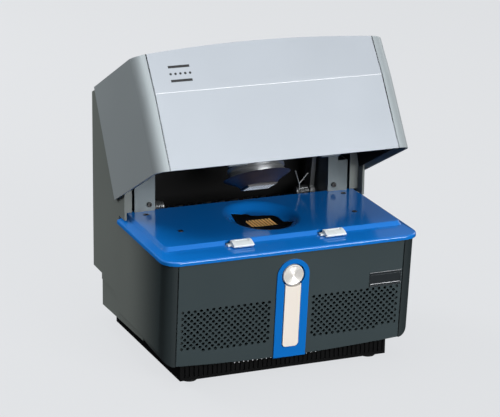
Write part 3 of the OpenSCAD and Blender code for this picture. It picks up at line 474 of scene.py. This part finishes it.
def build_surround():
    """Dark frame in the deck's opening: it follows the dish, stands proud at the lip, and leaves the block free."""
    bm = bmesh.new()
    centre_x, centre_y = -2, 108
    count = len(OPENING)
    rings = []
    for scale, lift in ((0.965, -4.0), (0.965, 0.1), (0.93, 0.5), (0.88, -0.5), (0.80, -1.2)):
        ring = []
        for x, y in OPENING:
            px, py = centre_x + (x - centre_x) * scale, centre_y + (y - centre_y) * scale
            depth = max(dish_depth(px, py), -8.5)
            ring.append(bm.verts.new(at(px, py, min(-0.3, depth + lift))))
        rings.append(ring)
    for a, b in zip(rings, rings[1:]):
        for i in range(count):
            j = (i + 1) % count
            bm.faces.new((a[i], a[j], b[j], b[i]))
    inner = []
    for i in range(count):
        x, y = OPENING[i]
        direction = max(abs(x) / 19.4, abs(y - BLOCK_Y) / 15.4)
        inner.append(bm.verts.new(at(x / direction, BLOCK_Y + (y - BLOCK_Y) / direction, -9.7)))
    for i in range(count):
        j = (i + 1) % count
        bm.faces.new((rings[-1][i], rings[-1][j], inner[j], inner[i]))
    low = [bm.verts.new(v.co - Vector((0, 0, 4 * MM))) for v in inner]
    for i in range(count):
        j = (i + 1) % count
        bm.faces.new((inner[i], inner[j], low[j], low[i]))
    obj = make_object("block_surround_frame", bm, "black_plastic", "base", ("block_surround",), sharp=20)
    thick = obj.modifiers.new("skin", "SOLIDIFY")
    thick.thickness, thick.offset = 1.0 * MM, -1


def build_block():
    """Gold block: eight bars of six wells with a groove between the bars; dark strips in the grooves are painted
    shade.
    """
    low, high = (Vector(c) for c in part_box("thermal_block"))
    mid = (low + high) / 2
    bm = bmesh.new()
    pitch, across, deep, steps = 4.5, 8, 6, 16
    top, floor = high.z, high.z - 3.4 * MM
    for i in range(across):
        x = mid.x + (i - (across - 1) / 2) * pitch * MM
        for j in range(deep):
            y = mid.y + (j - (deep - 1) / 2) * pitch * MM
            loops = []
            for kind, size, z in (("box", 1.4, floor), ("box", 1.4, top - 0.3 * MM), ("box", 1.15, top), ("round", 0.85, top), ("round", 0.8, top - 0.3 * MM), ("round", 0.6, top - 4 * MM)):
                loop = []
                for s in range(steps):
                    a = 2 * math.pi * s / steps
                    u, v = math.cos(a), math.sin(a)
                    if kind == "box":
                        reach = max(abs(u), abs(v))
                        loop.append(bm.verts.new((x + u / reach * size * MM, y + v / reach * pitch / 2 * MM, z)))
                    else:
                        loop.append(bm.verts.new((x + u * size * MM, y + v * size * MM, z)))
                loops.append(loop)
            for a, b in zip(loops, loops[1:]):
                for s in range(steps):
                    t = (s + 1) % steps
                    bm.faces.new((a[s], a[t], b[t], b[s]))
            bm.faces.new(loops[-1])
    half_x, half_y = across * pitch / 2 * MM, deep * pitch / 2 * MM
    slab(bm, (mid.x - half_x, mid.y - half_y, low.z), (mid.x + half_x, mid.y + half_y, floor))
    slab(bm, (low.x, low.y, low.z), (high.x, high.y, low.z + 3.9 * MM))
    make_object("thermal_block_bars", bm, "gold_block", "base", ("thermal_block",), sharp=25)
    # painted shade: black strips fill the grooves between the bars up to 1 mm under the top
    groove_shade_fill = bmesh.new()
    for i in range(across - 1):
        x = mid.x + (i - (across - 2) / 2) * pitch * MM
        slab(groove_shade_fill, (x - 0.83 * MM, mid.y - half_y, floor - 0.2 * MM), (x + 0.83 * MM, mid.y + half_y, top - 1.0 * MM))
    make_object("thermal_block_groove_shade", groove_shade_fill, "black_plastic", "base", bevel=0.1)


# ---------------------------------------------------------------- front
def build_button():
    """Spun metal button: a dished face with fine rings, a rim, and its stem."""
    low, high = (Vector(c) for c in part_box("release_button"))
    radius = 14.0
    centre = Vector((0, low.y + radius * MM * math.sin(LEAN), (low.z + radius * MM * math.cos(LEAN))))
    out = Matrix.Rotation(LEAN, 4, "X") @ Matrix.Rotation(math.pi / 2, 4, "X")
    matrix = Matrix.Translation(centre) @ out
    face = [(0, -0.9)]
    rings = 14
    for i in range(1, rings + 1):
        r = 12.2 * i / rings
        bowl = -0.9 + 0.75 * (r / 12.2) ** 2
        face.append((r, bowl - (0.32 if i % 2 else 0)))
    face += [(12.9, -0.05), (13.5, -0.25), (13.9, -0.8), (14.0, -1.6), (14.0, -4.3), (5.0, -4.4), (5.0, -26.0), (0, -26.0)]
    bm = bmesh.new()
    lathe(bm, face, matrix, 72)
    make_object("release_button_turned", bm, "spun_aluminium", "button", ("release_button",), sharp=35)


def build_badge_lines():
    """Thin light borders round the blank plate at the panel's right."""
    low, high = (Vector(c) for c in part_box("badge_plate"))
    lean = Matrix.Translation(Vector((0, low.y, high.z))) @ Matrix.Rotation(LEAN, 4, "X")
    bm = bmesh.new()
    width, tall = high.x - low.x, 19.6 * MM
    line = 0.6 * MM
    for x0, x1, z0, z1 in ((0, width, 0, line), (0, width, tall - line, tall), (0, line, 0, tall), (width - line, width, 0, tall), (0, width, 3.4 * MM, 3.4 * MM + line)):
        slab(bm, (low.x + x0, 0.02 * MM, -tall + z0), (low.x + x1, 0.3 * MM, -tall + z1), lean)
    make_object("badge_borders", bm, "silver_paint", "base", sharp=30, finish=HIGHLIGHT_AND_TRIM)


# ---------------------------------------------------------------- lid
def lid_frame(x, y, z):
    """A place in the shut lid, mm from the hinge line, moved to where the open lid holds it."""
    return HINGE @ Vector((x * MM, y * MM, z * MM))


def build_optics():
    """Turned lens band and glossy hood under the lid, with the frosted window in its middle."""
    ring = middle("lens_ring")
    matrix = Matrix.Translation(ring) @ Matrix.Rotation(-OPEN, 4, "X")
    bm = bmesh.new()
    profile = [(28, -6.49), (35.8, -6.49), (36.9, -5.9), (37.3, -5.2), (37.4, -4.4), (37.4, -1.9), (36.9, -1.5), (35.9, -1.2), (35.9, 1.2), (36.9, 1.6), (37.4, 2.1)]
    for i in range(6):
        profile += [(37.4, 2.1 + i * 0.7), (37.2, 2.3 + i * 0.7), (37.2, 2.6 + i * 0.7)]
    profile += [(36.6, 6.3), (28, 6.49), (28, -6.49)]
    lathe(bm, profile, matrix, 96)
    make_object("lens_ring_turned", bm, "aluminium", "heated_lens", ("lens_ring",), sharp=30)
    bowl = bmesh.new()
    low = -(6.49 + 10.8)
    profile = [(25.8, low - 2.4), (27.0, low - 2.4), (27.8, low - 1.6), (31, low + 1.6), (38, low + 5.2), (44, low + 7.8), (48.6, low + 9.6), (49.8, low + 10.4), (49.2, low + 10.75), (40, low + 10.7), (30, low + 9.0), (25.8, low + 3.0), (25.8, low - 2.4)]
    squeeze = Matrix.Diagonal((0.86, 1, 1, 1))
    lathe(bowl, profile, matrix @ squeeze, 96)
    make_object("optics_hood_moulded", bowl, "dark_gloss", "heated_lens", ("optics_hood",), sharp=35)
    refine("heated_plate", "window", 0.3, "heated_lens", finish=FRAME)
    pane = bmesh.new()
    under = matrix @ Matrix.Translation(Vector((0, 0, low - 4.45)) * MM)
    slab(pane, Vector((-17.4, -12.9, 0)) * MM, Vector((17.4, 12.9, 0.5)) * MM, under)
    make_object("heated_window_pane", pane, "window", "heated_lens", bevel=0.15)


def build_wire():
    """Sprung wire clip standing behind the deck: a stem, a foot and two arms."""
    low, high = (Vector(c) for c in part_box("wire_clip"))
    y = (low.y + high.y) / 2
    apex = Vector((86 * MM, y, DECK_HIGH.z + 11 * MM))
    bm = bmesh.new()
    stand = Vector((86 * MM, y, low.z))
    for start, end in ((stand, apex), (apex, apex + Vector((-5.8, 0, 18.6)) * MM), (apex, apex + Vector((12.8, 0, 14.0)) * MM), (apex + Vector((0, 0, -7)) * MM, apex + Vector((12.5, 0, -6.4)) * MM)):
        along = end - start
        turn = along.to_track_quat("Z", "Y").to_matrix().to_4x4()
        length = along.length / MM
        lathe(bm, [(0, 0), (0.7, 0.2), (0.75, length - 0.3), (0.4, length), (0, length)], Matrix.Translation(start) @ turn, 16)
    make_object("wire_clip_bent", bm, "steel", "base", ("wire_clip",))


def build_marks():
    """Dark slots and dots inlaid in the lid, painted shade for their recesses, and the bright line of its crease, a
    painted highlight.
    """
    crease = HINGE @ Matrix.Translation(Vector((0, -209.3, 106.2)) * MM)
    lean = crease @ Matrix.Rotation(-LID_LEAN, 4, "X")
    bm = bmesh.new()
    for z in (15.1, 34.3):
        slab(bm, Vector((-129.0, -0.06, z - 1.7)) * MM, Vector((-100.8, 2.0, z + 1.7)) * MM, lean)
    for i in range(5):
        spot = lean @ Matrix.Translation(Vector((-127.5 + i * 6.4, 0, 24.6)) * MM) @ Matrix.Rotation(math.pi / 2, 4, "X")
        lathe(bm, [(0, 0.06), (1.6, 0.06), (1.75, -0.1), (1.75, -2.0), (0, -2.0)], spot, 24)
    make_object("lid_recess_shade", bm, "black_plastic", "lid", finish=RECESS_SHADE)
    # painted highlight: a thin bright bead along the crease stands in for the light it catches
    bead = bmesh.new()
    lathe(bead, [(0, -153.0), (0.3, -152.6), (0.3, 152.6), (0, 153.0)], crease @ Matrix.Rotation(math.pi / 2, 4, "Y"), 16)
    make_object("lid_crease_highlight", bead, "silver_paint", "lid", finish=HIGHLIGHT_AND_TRIM)


def lid_edges(middle_point):
    """Wider rounding on the lid's crown and front corner edges than along its seams."""
    point = HINGE_BACK @ middle_point / MM
    if point.z > 156 and point.y < -190:
        return 3.2
    if abs(point.x) > 165:
        return 1.6
    return 0.5


PANEL_LOW, PANEL_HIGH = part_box("front_panel")


def panel_edges(point):
    """Rounding on the panel's outline only: the grille's holes keep crisp edges."""
    across = abs(point.x) < PANEL_HIGH[0] - 2 * MM
    upright = PANEL_LOW[2] + 14 * MM < point.z < PANEL_HIGH[2] - 2 * MM
    return 0.0 if across and upright else 0.35


HINGE_POINT = middle("hinge_pins")
HINGE = Matrix.Translation(HINGE_POINT) @ Matrix.Rotation(-OPEN, 4, "X")
HINGE_BACK = HINGE.inverted()

build_deck()
build_surround()
build_block()
build_button()
build_badge_lines()
build_optics()
build_marks()
build_wire()
build_grille_shade()
build_plinth_rib_highlights()
seam_gasket("lid_panel", 153.6, "lid")
seam_gasket("front_panel", 152.75, "base")
refine("lid_panel", "silver_paint", 0.5, "lid", lid_edges, widest=3.2, segments=4, seam=(153.6, -0.4))
# the cheeks take the darker silver, painted shade
for cheek in ("lid_cheek_left", "lid_cheek_right"):
    refine(cheek, "silver_paint", 0.5, "lid", lid_edges, widest=3.2, segments=4, seam=(154.0, 0.3), finish=SHADED_CHEEK_SILVER)
refine("base_shell", "side_plastic", 0.6, seam=(153.1, 0.4))
refine("front_panel", "panel_plastic", 0.35, choose=panel_edges, segments=2, seam=(152.75, -0.3))
refine("front_trim", "blue_gloss", 0.6)
refine("light_bar", "pearl_bar", 0.9, segments=4)
refine("latch_bolts", "white_plastic", 0.7, "latch", segments=3)
refine("badge_plate", "badge", 0.15)
refine("plinth", "black_plastic", 0.4)
refine("rubber_feet", "rubber", 0.5)
refine("chassis_skirt", "side_plastic", 0.6)
refine("rear_housing", "side_plastic", 1.0)
refine("rear_panel", "dark_plastic", 0.4)
refine("socket_plate", "dark_plastic", 0.4)
for bracket in ("bracket_left", "bracket_right"):
    refine(bracket, "zinc_sheet", 0.35)
for screws, finish in (("bracket_screws", "black_screw"), ("deck_screws", "black_screw"), ("rear_panel_screws", "black_screw")):
    refine(screws, finish, 0.4)
refine("power_inlet", "black_plastic", 0.3)
refine("switch_frame", "black_plastic", 0.3)
refine("power_switch", "red_plastic", 0.4, "power_switch")
refine("data_socket", "steel", 0.2)
refine("lid_liner", "black_plastic", 0.8, "lid")
refine("optics_housing", "black_plastic", 0.8, "lid")
refine("filter_motor", "steel", 0.5, "lid")
refine("lid_strikers", "zinc_sheet", 0.2, "lid")

for part in frame["record"]["subparts"]:
    node = NODES[part["node"]]
    node.data.materials.clear()
    node.data.materials.append(MAT[part["material_slot"]])

make_camera()
make_world()
make_stage()
bpy.context.scene.view_settings.view_transform = "Standard"
bpy.context.scene.view_settings.look = "None"
